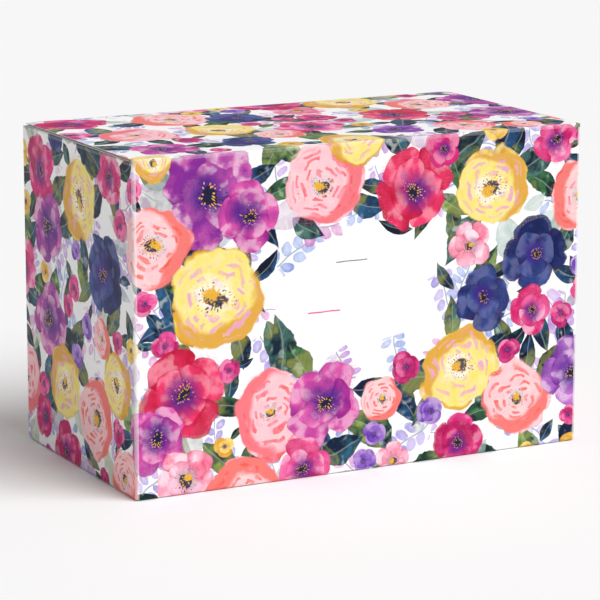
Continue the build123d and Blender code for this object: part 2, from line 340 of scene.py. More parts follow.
class Builder:
    """Collects vertices, faces, material numbers and the blank's coordinates."""

    def __init__(self):
        self.v, self.f, self.m, self.pq, self.key = [], [], [], [], {}

    def vert(self, co, pq, tag=0):
        k = (round(co[0], 4), round(co[1], 4), round(co[2], 4), tag)
        if k not in self.key:
            self.key[k] = len(self.v)
            self.v.append(co)
            self.pq.append(pq)
        return self.key[k]

    def face(self, ids, mat):
        ids = [i for n, i in enumerate(ids) if i != ids[n - 1]]
        if len(ids) >= 3:
            self.f.append(ids)
            self.m.append(mat)

    def make(self, name, mats, smooth=False, sharp=35):
        me = bpy.data.meshes.new(name)
        me.from_pydata([(x * MM, y * MM, z * MM) for x, y, z in self.v], [], self.f)
        me.validate()
        for m in mats:
            me.materials.append(m)
        me.polygons.foreach_set("material_index", self.m[:len(me.polygons)])
        ob = bpy.data.objects.new(name, me)
        bpy.context.scene.collection.objects.link(ob)
        nl = len(me.loops)
        vi = np.zeros(nl, int)
        me.loops.foreach_get("vertex_index", vi)
        pq = np.array(self.pq, float)[vi]
        blank = np.zeros((nl, 3), np.float32)
        blank[:, :2] = pq
        at = me.attributes.new("blank", "FLOAT_VECTOR", "CORNER")
        at.data.foreach_set("vector", blank.ravel())
        uv = me.uv_layers.new(name="sheet")
        uv.data.foreach_set("uv", pq.astype(np.float32).ravel())
        if any(m.name.startswith("print") for m in mats):
            self.motif_attributes(me, pq)
        if smooth:
            me.polygons.foreach_set("use_smooth", [True] * len(me.polygons))
            me.set_sharp_from_angle(angle=math.radians(sharp))
        me.update()
        return ob

    def motif_attributes(self, me, pq):
        nl = len(me.loops)
        names = [("b", k) for k in range(NB)] + [("l", k) for k in range(NL)] + [("s", k) for k in range(NS)]
        data = {n: (np.zeros((nl, 3), np.float32), np.zeros((nl, 4), np.float32), np.zeros((nl, 4), np.float32), np.zeros((nl, 3), np.float32)) for n in names}
        for n in names:
            data[n][0][:] = (9.0, 9.0, 0.0)
            data[n][3][:] = (5.0, 0.0, 0.1)
        for poly in me.polygons:
            a = poly.loop_start
            b = a + poly.loop_total
            c = pq[a:b].mean(0)
            got = cells.get((int(c[0] // CELL), int(c[1] // CELL)))
            if not got:
                continue
            for kind in "bls":
                for k, m in enumerate(sorted(got[kind], key=lambda x: -x.z)):
                    uvw, ca, cb, par = data[(kind, k)]
                    for i in range(a, b):
                        u, v = m.uv(pq[i][0], pq[i][1])
                        uvw[i] = (u, v, m.seed)
                    ca[a:b] = m.a
                    cb[a:b] = m.b
                    par[a:b] = m.par
        for (kind, k), (uvw, ca, cb, par) in data.items():
            for suffix, kindname, arr, field in (("uv", "FLOAT_VECTOR", uvw, "vector"), ("a", "FLOAT_COLOR", ca, "color"), ("b", "FLOAT_COLOR", cb, "color"), ("p", "FLOAT_VECTOR", par, "vector")):
                at = me.attributes.new(f"{kind}{k}{suffix}", kindname, "CORNER")
                at.data.foreach_set(field, arr.ravel())


def slab(name, poly, world, blank, h0, h1, mats, cellsize=CELL):
    """A flat closed sheet between depths h0 and h1, its outer face cut along the blank's grid."""
    B = Builder()
    if area2(poly) < 0:
        poly = poly[::-1]
    o, ea, eb = np.array(blank(0, 0)), np.array(blank(1, 0)), np.array(blank(0, 1))
    # which local axis runs along p, and with which sign
    swap = abs(ea[0] - o[0]) < 0.5
    P = [(blank(a, b)[0], blank(a, b)[1]) for a, b in poly]
    sp = (blank(1, 1)[0] - blank(0, 0)[0]), (blank(1, 1)[1] - blank(0, 0)[1])

    def local(p, q):
        if swap:      # p follows b, q follows a
            return (q - o[1]) / (ea[1] - o[1]), (p - o[0]) / (eb[0] - o[0])
        return (p - o[0]) / (ea[0] - o[0]), (q - o[1]) / (eb[1] - o[1])

    x0, x1 = min(p[0] for p in P), max(p[0] for p in P)
    y0, y1 = min(p[1] for p in P), max(p[1] for p in P)
    flip = ((np.cross(np.array(world(1, 0, 0)) - np.array(world(0, 0, 0)), np.array(world(0, 1, 0)) - np.array(world(0, 0, 0)))
             @ (np.array(world(0, 0, -1)) - np.array(world(0, 0, 0)))) < 0)
    edges = {}
    for i in range(int(math.floor(x0 / cellsize)), int(math.floor(x1 / cellsize)) + 1):
        col = clip(P, 0, i * cellsize, (i + 1) * cellsize)
        if not col:
            continue
        for j in range(int(math.floor(y0 / cellsize)), int(math.floor(y1 / cellsize)) + 1):
            piece = clip(col, 1, j * cellsize, (j + 1) * cellsize)
            if not piece or abs(area2(piece)) < 1e-4:
                continue
            loc = [local(*t) for t in piece]
            if area2(loc) < 0:
                loc, piece = loc[::-1], piece[::-1]
            top = [B.vert(world(a, b, h0), t) for (a, b), t in zip(loc, piece)]
            bot = [B.vert(world(a, b, h1), t) for (a, b), t in zip(loc, piece)]
            if flip:
                top, bot = top[::-1], bot[::-1]
            B.face(top, 0)
            B.face(bot[::-1], 1)
            n = len(top)
            for k in range(n):
                a, b = top[k - 1], top[k]
                if (b, a) in edges:
                    del edges[(b, a)]
                elif a != b:
                    edges[(a, b)] = (bot[k - 1], bot[k])
    for (a, b), (c, d) in edges.items():
        B.face([b, a, c, d], 2)
    return B.make(name, mats)


def spans(poly, a):
    """Where the line at this a is inside the polygon, as intervals of b."""
    hit = []
    for k in range(len(poly)):
        (a0, b0), (a1, b1) = poly[k - 1], poly[k]
        if (a0 <= a) != (a1 <= a):
            hit.append(b0 + (b1 - b0) * (a - a0) / (a1 - a0))
    hit.sort()
    return [(hit[k], hit[k + 1]) for k in range(0, len(hit) - 1, 2)]


def flutes(name, poly, world, mat, breaks=(), phase=0.0):
    """The corrugated medium: a real wave sheet between the liners, its waves across a."""
    B = Builder()
    a0, a1 = min(p[0] for p in poly) + 0.02, max(p[0] for p in poly) - 0.02
    step = PITCH / 10
    n = int((a1 - a0) / step)
    st = [a0 + k * step for k in range(n + 1)] + ([a1] if a1 - (a0 + n * step) > 0.02 else [])
    mid, amp, th = LIN + FLU / 2, (FLU - 0.18) / 2, 0.09

    def row(a):
        s = spans(poly, a)
        if not s:
            return None
        b0, b1 = s[0]
        if b1 - b0 < 0.4:
            return None
        bs = [b0] + [x for x in breaks if b0 + 0.3 < x < b1 - 0.3] + [b1]
        ph = 2 * math.pi * (a / PITCH) + phase
        h = mid + amp * math.sin(ph)
        sl = amp * math.cos(ph) * 2 * math.pi / PITCH
        k = 1 / math.sqrt(1 + sl * sl)
        up = [B.vert(world(a + sl * k * th, b, h - k * th), (a, b), 1) for b in bs]
        dn = [B.vert(world(a - sl * k * th, b, h + k * th), (a, b), 2) for b in bs]
        return bs, up, dn

    flip = ((np.cross(np.array(world(1, 0, 0)) - np.array(world(0, 0, 0)), np.array(world(0, 1, 0)) - np.array(world(0, 0, 0)))
             @ (np.array(world(0, 0, -1)) - np.array(world(0, 0, 0)))) < 0)

    def f(ids):
        B.face(ids[::-1] if flip else ids, 0)

    prev = None
    for a in st:
        r = row(a)
        if r and prev and len(prev[0]) == len(r[0]):
            m = len(r[0])
            for k in range(m - 1):
                f([prev[1][k], r[1][k], r[1][k + 1], prev[1][k + 1]])
                f([prev[2][k + 1], r[2][k + 1], r[2][k], prev[2][k]])
            f([prev[2][0], r[2][0], r[1][0], prev[1][0]])
            f([prev[1][-1], r[1][-1], r[2][-1], prev[2][-1]])
        elif r and prev:
            lo, hi = (prev, r) if len(prev[0]) < len(r[0]) else (r, prev)
            for side in (1, 2):
                ids = [prev[side][k] for k in range(len(prev[0]))][::-1] + [r[side][k] for k in range(len(r[0]))]
                f(ids if side == 1 else ids[::-1])
            f([prev[2][0], r[2][0], r[1][0], prev[1][0]])
            f([prev[1][-1], r[1][-1], r[2][-1], prev[2][-1]])
        if r and not prev:
            for k in range(len(r[0]) - 1):
                f([r[1][k], r[1][k + 1], r[2][k + 1], r[2][k]])
        if prev and not r:
            for k in range(len(prev[0]) - 1):
                f([prev[2][k], prev[2][k + 1], prev[1][k + 1], prev[1][k]])
        prev = r
    if prev:
        for k in range(len(prev[0]) - 1):
            f([prev[2][k], prev[2][k + 1], prev[1][k + 1], prev[1][k]])
    return B.make(name, [mat], smooth=True, sharp=60)


def sweep(name, outer, inner, ts, l0, l1, world, blank, mats, step=CELL):
    """A folded strip: section points outer/inner (2-D), drawn out along l. ts is the blank's coordinate at each section point."""
    B = Builder()
    k0, k1 = int(math.floor(l0 / step)), int(math.floor(l1 / step))
    cuts = [l0] + [k * step for k in range(k0 + 1, k1 + 1) if l0 + 0.2 < k * step < l1 - 0.2] + [l1]
    O = [[B.vert(world(s, l), blank(t, l), 1) for s, t in zip(outer, ts)] for l in cuts]
    I = [[B.vert(world(s, l), blank(t, l), 2) for s, t in zip(inner, ts)] for l in cuts]
    n = len(outer)
    a, b, c = (np.array(world(outer[0], l0)), np.array(world(outer[1], l0)), np.array(world(outer[0], l0 + 1)))
    flip = np.cross(b - a, c - a) @ (a - np.array(world(inner[0], l0))) < 0

    def f(ids, mat):
        B.face(ids[::-1] if flip else ids, mat)

    for r in range(len(cuts) - 1):
        for k in range(n - 1):
            f([O[r][k], O[r][k + 1], O[r + 1][k + 1], O[r + 1][k]], 0)
            f([I[r][k], I[r + 1][k], I[r + 1][k + 1], I[r][k + 1]], 1)
        f([O[r][0], O[r + 1][0], I[r + 1][0], I[r][0]], 1)
        f([O[r][-1], I[r][-1], I[r + 1][-1], O[r + 1][-1]], 1)
    for k in range(n - 1):
        f([O[0][k], I[0][k], I[0][k + 1], O[0][k + 1]], 2)
        f([O[-1][k], O[-1][k + 1], I[-1][k + 1], I[-1][k]], 2)
    return B.make(name, mats, smooth=True, sharp=30)

# =====================================================================
# 4. materials: arithmetic on shader nodes
# =====================================================================
T = None


def node(kind, **kw):
    n = T.nodes.new(kind)
    for k, v in kw.items():
        setattr(n, k, v)
    return n


def put(sock, v):
    if isinstance(v, F):
        T.links.new(v.s, sock)
    elif isinstance(v, (tuple, list)) and len(v) == 3 and sock.type == "RGBA":
        sock.default_value = (*v, 1.0)
    else:
        sock.default_value = v


def m(op, *a):
    n = node("ShaderNodeMath", operation=op)
    for s, v in zip(n.inputs, a):
        put(s, v)
    return F(n.outputs[0])


class F:
    def __init__(self, s): self.s = s
    def __add__(a, b): return m("ADD", a, b)
    def __radd__(a, b): return m("ADD", b, a)
    def __sub__(a, b): return m("SUBTRACT", a, b)
    def __rsub__(a, b): return m("SUBTRACT", b, a)
    def __mul__(a, b): return m("MULTIPLY", a, b)
    def __rmul__(a, b): return m("MULTIPLY", b, a)
    def __truediv__(a, b): return m("DIVIDE", a, b)
    def __neg__(a): return m("MULTIPLY", a, -1.0)


# (the renderer works through nodes in the order they are made, so nothing here
# is left to an automatic clamp or an automatic conversion of colour to vector)
def clamp01(a):
    n = node("ShaderNodeClamp")
    put(n.inputs[0], a)
    return F(n.outputs[0])


def pw(a, b): return m("POWER", a, b)
def absf(a): return m("ABSOLUTE", a)


def comb(x, y, z=0.0):
    n = node("ShaderNodeCombineXYZ")
    for s, v in zip(n.inputs, (x, y, z)):
        put(s, v)
    return F(n.outputs[0])


def ss(a, b, x, lo=0.0, hi=1.0):
    n = node("ShaderNodeMapRange", interpolation_type="SMOOTHSTEP", clamp=False)
    for s, v in zip(n.inputs, (x, a, b, lo, hi)):
        put(s, v)
    return F(n.outputs[0])


def noise(v, scale, detail=1.0, rough=0.5, colour=False, dist=0.0):
    n = node("ShaderNodeTexNoise")
    put(n.inputs["Vector"], v)
    n.inputs["Scale"].default_value = scale
    n.inputs["Detail"].default_value = detail
    n.inputs["Roughness"].default_value = rough
    n.inputs["Distortion"].default_value = dist
    return F(n.outputs["Color" if colour else "Fac"])


def white1(w, colour=False):
    n = node("ShaderNodeTexWhiteNoise", noise_dimensions="1D")
    put(n.inputs["W"], w)
    return F(n.outputs["Color" if colour else "Value"])


def mix(a, b, t, blend="MIX"):
    n = node("ShaderNodeMix", data_type="RGBA", blend_type=blend, clamp_factor=True)
    put(n.inputs[0], t)
    put(n.inputs[6], a)
    put(n.inputs[7], b)
    return F(n.outputs[2])


def dim(c, k, to=(0.0, 0.0, 0.0)): return mix(c, to, 1.0 - k)


def sepc(c):
    n = node("ShaderNodeSeparateColor")
    put(n.inputs[0], c)
    return [F(o) for o in n.outputs]


def hyp(x, y): return m("SQRT", m("MULTIPLY_ADD", x, x, y * y))


def attr(name):
    n = node("ShaderNodeAttribute", attribute_name=name)
    return F(n.outputs["Color"]), F(n.outputs["Alpha"])


def group(name, ins, outs, body):
    """A node group: ins and outs are (name, socket type)."""
    global T
    g = bpy.data.node_groups.new(name, "ShaderNodeTree")
    for n, t in ins:
        g.interface.new_socket(name=n, in_out="INPUT", socket_type=t)
    for n, t in outs:
        g.interface.new_socket(name=n, in_out="OUTPUT", socket_type=t)
    keep, T = T, g
    gi, go = node("NodeGroupInput"), node("NodeGroupOutput")
    res = body(*[F(gi.outputs[k]) for k in range(len(ins))])
    for k, r in enumerate(res if isinstance(res, tuple) else (res,)):
        put(go.inputs[k], r)
    T = keep
    return g


def use(g, *vals):
    n = node("ShaderNodeGroup", node_tree=g)
    for s, v in zip(n.inputs, vals):
        put(s, v)
    return F(n.outputs[0])


FL, CO = "NodeSocketFloat", "NodeSocketColor"


def petal_layer(base, phi, r, n, off, R, w, ca, cb, rim, e, wash, notch, nz):
    """One ring of broad overlapping petals, over base."""
    z1, z2, z3, z4, z5 = nz
    a = phi * n + off
    i = m("ROUND", a)
    f = a - i
    h = white1(m("FLOORED_MODULO", i, n) * 3.7 + w * 5.31 + off * 7.7)
    fa = absf(f) * 2.0
    out = (1.0 - pw(fa, 3.0) * notch + (h - 0.5) * 0.16 + e) * R
    d = (out - r) / R
    mask = ss(0.0, 0.03, d)
    st = m("SINE", f * 12.0 + z2 + h * 30.0) * 0.5
    blot = m("SINE", z1 + h * 6.3 + w) * 0.5
    t = clamp01(z4 + st * 0.18 + blot * 0.60 + (h - 0.5) * 0.7 + (0.55 - r / R) * 0.35)
    col = mix(ca, cb, t)
    pale = ss(0.0, 0.45, z5 - blot * 0.8 + m("SINE", f * 23.0 + z3 + h * 9.0) * 0.06) * wash * ss(0.20, 0.65, r / R)
    col = mix(col, (1.0, 0.88, 0.93), pale * 0.72)
    shade = ss(0.30, 0.5, f) * 0.55 + ss(0.05, 0.0, d) * 0.60 + ss(0.22, 0.05, d) * ss(0.1, 0.4, blot) * 0.25
    col = mix(col, rim, clamp01(shade))
    return mix(base, col, mask)


def bloom_noise(l, m, f):
    return [(l[0] - 0.5) * 0.50 + (m[0] - 0.5) * 0.06, (l[1] - 0.5) * 0.50 + (m[1] - 0.5) * 0.06, (m[2] - 0.5) * 0.11 + (f[2] - 0.5) * 0.02,
            l[2] * 14.0 + m[1] * 3.0, m[0] * 9.0, m[1] * 12.0, (f[0] - 0.5) * 0.40 + (m[1] - 0.5) * 0.9 + 0.46, (m[0] - 0.5) * 1.3 + (f[1] - 0.5) * 0.3,
            (m[1] - 0.5) * 1.6 + (l[2] - 0.5) * 2.4, m[2] * 5.0, (m[0] - 0.5) * 1.5 + (f[0] - 0.5) * 0.4 + 0.18, (f[0] - 0.5) * 1.1 + (m[2] - 0.5) * 1.1, f[1]]


def bloom_body(base, wx, wy, e, z1, z2, z3, z4, z5, z6, z7, z8, z9, z10, uvw, ca, gold, cb, wash, par):
    u, v, w = sepc(uvw)
    n, ring, rc = sepc(par)
    rc = m("MAXIMUM", rc, 0.05)
    nz = (z1, z2, z3, z4, z5)
    x = u + wx
    y = v + wy
    r = hyp(x, y)
    phi = m("ARCTAN2", y, x) / 6.2831853
    rim = dim(cb, 0.72, (0.10, 0.0, 0.06))
    notch = 0.19 - ring * 0.14
    c = petal_layer(base, phi, r, n, w, 1.0, w, ca, cb, rim, e, wash, notch, nz)
    c = petal_layer(c, phi, r, n - 1.0, w * 2.3 + 0.5, 0.68, w + 11.0, ca, cb, rim, e, wash, notch, nz)
    # ring flowers: a pale ball, a crescent of pigment on one side, brush dabs round the centre
    lune = hyp(x + m("COSINE", w * 2.0) * 0.36, y + m("SINE", w * 2.0) * 0.36)
    cres = ss(0.84, 0.98, lune + z6 * 0.09)
    ball = mix(mix(ca, (1.0, 0.96, 0.88), 0.35), ca, clamp01(z8 + 0.2))
    ball = mix(ball, cb, cres * 0.80)
    q = r * 6.2 + z6 * 0.75 + 0.3
    fl = m("FLOOR", q)
    fr = q - fl
    hf = white1(fl * 1.7 + w * 4.1)
    dab = ss(0.22, 0.34, fr) * ss(0.88, 0.76, fr) * ss(0.0, 0.16, m("SINE", phi * m("ROUND", hf * 4.0 + 3.0) * 6.2831853 + hf * 20.0 + z7))
    dabc = mix(cb, (0.80, 0.36, 0.58), ss(0.5, 0.9, ring))
    ball = mix(ball, mix(dabc, ca, clamp01(z8)), dab * 0.88 * ss(0.9, 0.75, r))
    ball = mix(ball, rim, ss(0.93, 1.0, r - e) * 0.35)
    c = mix(c, ball, ss(0.97, 0.91, r - e) * ss(0.0, 0.3, ring))
    # wet glow that bleeds out of the centre
    dist = r / rc
    gx = x / rc - m("COSINE", w * 3.0) * 0.55
    gy = y / rc - m("SINE", w * 3.0) * 0.55
    isgold = ss(0.45, 0.60, gold)
    glow = mix((0.045, 0.015, 0.23), mix((0.42, 0.36, 0.52), (1.0, 0.98, 0.95), ring), isgold)
    c = mix(c, glow, ss(4.5 - isgold * 1.9, 0.9, hyp(dist * 0.55, hyp(gx, gy) * 0.9) + z9 * 1.7) * (0.88 - isgold * 0.15))
    # dark disc, gold cluster, stamens
    c = mix(c, mix((0.008, 0.010, 0.040), (0.022, 0.022, 0.06), isgold), ss(1.08, 0.94, dist + z9 * 0.5) * 0.95)
    gcol = mix((0.88, 0.62, 0.07), (0.80, 0.30, 0.02), m("FRACT", z10 * 5.0 + w))
    c = mix(c, gcol, ss(0.78, 0.64, hyp(gx, gy) + z9 * 0.9) * isgold * 0.92)
    for N, rad, wid, size, s0, long, black in ((15.0, 0.72, 0.50, 0.105, 1.7, 0.50, 0.15), (21.0, 1.22, 0.55, 0.10, 5.1, 0.45, 0.30), (25.0, 1.62, 0.65, 0.085, 3.9, 0.75, 0.75)):
        a = phi * N + w
        i = m("ROUND", a)
        h = white1(m("FLOORED_MODULO", i, N) * 2.9 + w * 3.3 + s0)
        dr = (dist - rad - (h - 0.5) * wid) * long
        da = (a - i) * dist * (6.2831853 / N)
        dot = ss(size, size * 0.55, hyp(dr, da))
        dc = mix(gcol, (0.012, 0.012, 0.05), ss(1.0 - black, 1.02 - black, m("FRACT", h * 7.13)))
        c = mix(c, dc, dot * ss(0.15, 0.25, h) * 0.95)
    return c


def leaf_noise(l, m, f):
    return [(l[0] - 0.5) * 0.50 + (m[0] - 0.5) * 0.17, (l[1] - 0.5) * 0.06, 1.0 + (m[1] - 0.5) * 0.42 + (f[0] - 0.5) * 0.10, l[2] * 12.0 + m[2] * 9.0,
            (m[0] - 0.5) * 1.2 + (f[1] - 0.5) * 0.35 + 0.40, (m[1] - 0.5) * 2.0, (l[1] - 0.5) * 2.4]


def leaf_body(base, vw, uw, wm, z1, z2, z3, z4, uvw, ca, alpha, cb, pale, par):
    u, v, w = sepc(uvw)
    bend, fat, _z = sepc(par)
    du = u - 0.5
    vv = v + bend * (du * du * 4.0 - 0.6) + vw
    uu = clamp01(u + uw)
    hw = m("SINE", pw(uu, 0.86) * 3.14159265) * (fat * 1.08) * wm
    hw = hw * (1.0 - pw(uu, 6.0) * 0.5)
    av = absf(vv)
    d = hw - av
    mask = ss(0.0, 0.07, d) * ss(-0.01, 0.02, u) * ss(1.01, 0.98, u)
    side = ss(-0.12, 0.12, vv)
    wet = m("SINE", z1 + w * 1.7) * 0.5
    t = clamp01(z2 + 0.10 + wet * 0.75 + side * 0.42 + (u - 0.5) * 0.35)
    col = mix(ca, cb, t)
    col = mix(col, (0.78, 0.82, 0.72), ss(0.30, 0.7, z3 - wet * 0.6) * 0.40)
    col = mix(col, (0.42, 0.46, 0.10), ss(0.05, 0.45, z4 + wet * 0.4) * 0.45 * (1.0 - pale))
    fr = m("FRACT", (u * 1.05 - av * 0.30) * 7.0 + w)
    vein = ss(0.0, 0.10, fr) * ss(0.28, 0.12, fr) * ss(0.0, 0.15, d)
    deep = dim(cb, 0.45)
    col = mix(col, deep, vein * (0.22 - pale * 0.10))
    col = mix(col, mix((0.70, 0.80, 0.72), deep, side), ss(0.085, 0.035, av) * ss(0.98, 0.70, u) * (0.36 - pale * 0.20))
    col = mix(col, deep, ss(0.16, 0.0, d) * (0.50 - pale * 0.28))
    return mix(base, col, mask * alpha * (1.0 - pale * 0.15))


def sprig_noise(l, m, f):
    return [(l[0] - 0.5) * 0.55, (m[1] - 0.5) * 0.9 + (f[0] - 0.5) * 0.3, (m[0] - 0.5) * 1.6 + (f[1] - 0.5) * 0.85]


def sprig_body(base, vw, z1, z2, uvw, ca, cb, par):
    u, v, w = sepc(uvw)
    n, bend, _z = sepc(par)
    du = u - 0.5
    vv = v + bend * (du * du * 4.0 - 0.5) + vw
    stem = ss(0.075, 0.035, absf(vv + m("SINE", u * 9.0 + w) * 0.08)) * ss(0.0, 0.03, u) * ss(1.0, 0.93, u)
    base = mix(base, mix((0.25, 0.40, 0.36), cb, 0.4), stem * 0.75)
    side = m("SIGN", vv)
    a = u * n + side * 0.22
    i = m("FLOOR", a)
    h = white1(i * 2.17 + side * 5.3 + w * 3.9)
    h2 = white1(i * 1.31 + side * 2.9 + w * 2.1 + 7.7)
    f = a - i - 0.5 + (h - 0.5) * 0.30
    g = absf(vv) - 0.52 - (h2 - 0.5) * 0.30
    fx = f * 1.0 + g * -0.35
    d = hyp(fx / 0.45, g / 0.47) + z1
    mask = ss(1.0, 0.90, d) * ss(0.12, 0.2, h2) * ss(-0.02, 0.04, u) * ss(1.03, 0.96, u)
    col = mix(ca, cb, clamp01(h * 0.8 + z2))
    col = mix(col, dim(cb, 0.72), ss(0.72, 0.98, d) * 0.45)
    col = mix(col, (0.93, 0.92, 0.98), ss(0.55, 0.0, d) * 0.35 * h2)
    return mix(base, col, mask * 0.86)


def numbered(k): return [("base", CO)] + [(f"noise{i}", FL) for i in range(k)]


G_BLOOM = group("bloom", numbered(13) + [("uvw", CO), ("light", CO), ("gold", FL), ("deep", CO), ("wash", FL), ("shape", CO)], [("colour", CO)], bloom_body)
G_LEAF = group("leaf", numbered(7) + [("uvw", CO), ("light", CO), ("alpha", FL), ("deep", CO), ("pale", FL), ("shape", CO)], [("colour", CO)], leaf_body)
G_SPRIG = group("sprig", numbered(3) + [("uvw", CO), ("light", CO), ("deep", CO), ("shape", CO)], [("colour", CO)], sprig_body)


def material(name):
    global T
    mat = bpy.data.materials.new(name)
    mat.use_nodes = True
    T = mat.node_tree
    T.nodes.clear()
    out = node("ShaderNodeOutputMaterial")
    bs = node("ShaderNodeBsdfPrincipled")
    T.links.new(bs.outputs[0], out.inputs[0])
    return mat, bs


def bump(bs, height, strength, dist):
    n = node("ShaderNodeBump")
    n.inputs["Strength"].default_value = strength
    n.inputs["Distance"].default_value = dist
    put(n.inputs["Height"], height)
    T.links.new(n.outputs[0], bs.inputs["Normal"])


def sheet(scale, shift=0.0, squeeze=1.0):
    """Position on the flat blank in mm, scaled, for a noise texture."""
    n = next((n for n in T.nodes if n.bl_idname == "ShaderNodeUVMap"), None) or node("ShaderNodeUVMap", uv_map="sheet")
    k = node("ShaderNodeMapping")
    T.links.new(n.outputs[0], k.inputs["Vector"])
    k.inputs["Scale"].default_value = (scale, scale * squeeze, scale)
    k.inputs["Location"].default_value = (shift, shift * 0.7, shift)
    return F(k.outputs[0])


def print_material(name, crease=0.0):
    """Coated white liner with the watercolour print. crease is a painted highlight on a fold: it lightens the print
    towards white, and more where the ink cracks.
    """
    mat, bs = material(name)
    blank, _ = attr("blank")
    p, q, _z = sepc(blank)
    lo = noise(sheet(0.045), 1.0, 1.0, 0.5, colour=True)
    md = noise(sheet(0.15, 31.0), 1.0, 1.5, 0.42, colour=True)
    fi = noise(sheet(0.62, 57.0), 1.0, 2.0, 0.55, colour=True)
    lo, md, fi = sepc(lo), sepc(md), sepc(fi)
    base = mix((0.955, 0.953, 0.950), (0.93, 0.90, 0.93), ss(0.52, 0.72, lo[2]) * 0.3)
    zs = sprig_noise(lo, md, fi)
    for k in reversed(range(NS)):
        uv, _ = attr(f"s{k}uv")
        a, _ = attr(f"s{k}a")
        b, _ = attr(f"s{k}b")
        pr, _ = attr(f"s{k}p")
        base = use(G_SPRIG, base, *zs, uv, a, b, pr)
    zs = leaf_noise(lo, md, fi)
    for k in reversed(range(NL)):
        uv, _ = attr(f"l{k}uv")
        a, al = attr(f"l{k}a")
        b, bl = attr(f"l{k}b")
        pr, _ = attr(f"l{k}p")
        base = use(G_LEAF, base, *zs, uv, a, al, b, bl, pr)
    zs = bloom_noise(lo, md, fi)
    for k in reversed(range(NB)):
        uv, _ = attr(f"b{k}uv")
        a, al = attr(f"b{k}a")
        b, bl = attr(f"b{k}b")
        pr, _ = attr(f"b{k}p")
        base = use(G_BLOOM, base, *zs, uv, a, al, b, bl, pr)
    # plain ruled marks in the address area
    wob = (md[0] - 0.5) * 0.8

    def rule(p0, p1, q0, wide):
        return ss(wide, wide * 0.6, absf(q - q0 + wob)) * ss(p0 - 0.3, p0, p) * ss(p1 + 0.3, p1, p)

    base = mix(base, (0.10, 0.035, 0.05), rule(-19.5, 1.5, 131.0, 0.42) * 0.85)
    base = mix(base, (0.72, 0.05, 0.18), rule(-38.5, -17.0, 101.5, 0.55) * 0.9)
    # pigment settles in the paper's grain
    grain = noise(sheet(1.3, 11.0), 1.0, 3.0, 0.6)
    base = mix(base, dim(base, 0.86), ss(0.50, 0.72, grain) * 0.5)
    # painted highlight of the rounded fold: the print is mixed towards white by crease all over the piece, plus extra
    # in the crack noise where the ink cracks
    if crease:
        crack = ss(0.45, 0.62, noise(sheet(1.4, 3.0), 1.0, 3.0, 0.65))
        base = mix(base, (0.97, 0.96, 0.96), clamp01(crease + crack * crease * 0.5))
    put(bs.inputs["Base Color"], base)
    rough = 0.46 + (md[1] - 0.5) * 0.16 + (grain - 0.5) * 0.08
    put(bs.inputs["Roughness"], rough)
    bs.inputs["Coat Weight"].default_value = 0.05
    bs.inputs["Coat Roughness"].default_value = 0.32
    bs.inputs["Specular IOR Level"].default_value = 0.12
    wave = m("SINE", p * (2 * math.pi / PITCH))
    bump(bs, wave * 0.35 + grain * 0.5 + lo[0] * 2.0, 0.12, 0.0004)
    return mat


def paper_material(name, ca, cb, rough, waves=0.4, scale=1.0):
    """Uncoated paper: long fibres, flecks and, on a liner, painted shade in stripes along the flutes over a matching
    washboard bump.
    """
    mat, bs = material(name)
    blank, _ = attr("blank")
    p, q, _z = sepc(blank)
    fib = noise(sheet(1.1 * scale, 0.0, 3.7), 1.0, 4.0, 0.65)
    blot = noise(sheet(0.06 * scale, 2.0), 1.0, 3.0, 0.6)
    fleck = ss(0.66, 0.74, noise(sheet(1.3 * scale, 7.0, 2.7), 1.0, 2.0, 0.5))
    t = clamp01(0.5 + (fib - 0.5) * 1.5 + (blot - 0.5) * 0.9)
    col = mix(ca, cb, t)
    col = mix(col, dim(cb, 0.55), fleck * 0.45)
    pale = ss(0.68, 0.76, noise(sheet(2.7 * scale, 12.0, 0.3), 1.0, 2.0, 0.5))
    col = mix(col, mix(ca, (1.0, 0.96, 0.88), 0.35), pale * 0.5)
    wave = m("SINE", p * (2 * math.pi / PITCH))
    # painted shade: darker stripes along the flute waves stand in for the washboard's shading (waves also sets the real
    # bump below)
    col = mix(col, dim(cb, 0.80), ss(0.2, 1.0, wave) * waves * 0.35)
    put(bs.inputs["Base Color"], col)
    put(bs.inputs["Roughness"], rough + (fib - 0.5) * 0.15)
    bs.inputs["Specular IOR Level"].default_value = 0.25
    bump(bs, wave * waves + fib * 0.8, 0.25, 0.0003)
    return mat


M_PRINT = print_material("print")
# print on the folds with a painted highlight: strong on the upright corners and the glue flap fold, weak on the flap
# creases
M_FOLD_PAINTED_HIGHLIGHT = print_material("print_fold", crease=0.34)
M_HINGE_PAINTED_HIGHLIGHT = print_material("print_crease", crease=0.10)
M_PLAIN = paper_material("plain_liner_paper", lin((0.955, 0.95, 0.94)), lin((0.88, 0.87, 0.85)), 0.80)
M_FLUTE = paper_material("flute_paper", lin((0.86, 0.84, 0.80)), lin((0.74, 0.71, 0.66)), 0.88, waves=0.0, scale=1.3)
M_EDGE = paper_material("cut_edge_paper", lin((0.95, 0.94, 0.93)), lin((0.86, 0.85, 0.83)), 0.75, waves=0.0)


def glue_material():
    mat, bs = material("dried_glue")
    tc = node("ShaderNodeTexCoord")
    n1 = noise(F(tc.outputs["Object"]), 90.0, 3.0)
    put(bs.inputs["Base Color"], mix((0.72, 0.64, 0.45), (0.86, 0.82, 0.70), n1))
    put(bs.inputs["Roughness"], 0.30 + n1 * 0.2)
    bump(bs, noise(F(tc.outputs["Object"]), 220.0, 2.0), 0.3, 0.0002)
    return mat


M_GLUE = glue_material()

# =====================================================================
# 5. the panels
# =====================================================================
def rect(a0, a1, b0, b1):
    return [(a0, b0), (a1, b0), (a1, b1), (a0, b1)]


ca_, sa_ = math.cos(LEAN), math.sin(LEAN)


def tuck_world(a, s, h):
    y = TAX_Y - sa_ * s + ca_ * (0.8 - h)
    z = TAX_Z - ca_ * s - sa_ * (0.8 - h)
    return (a, y, z)


def zf(b, a=0.0):
    if abs(a) > 45.01 or b <= 4.0:
        return 0.0
    return min(5.1, 5.1 * (b - 4.0) / 14.0)


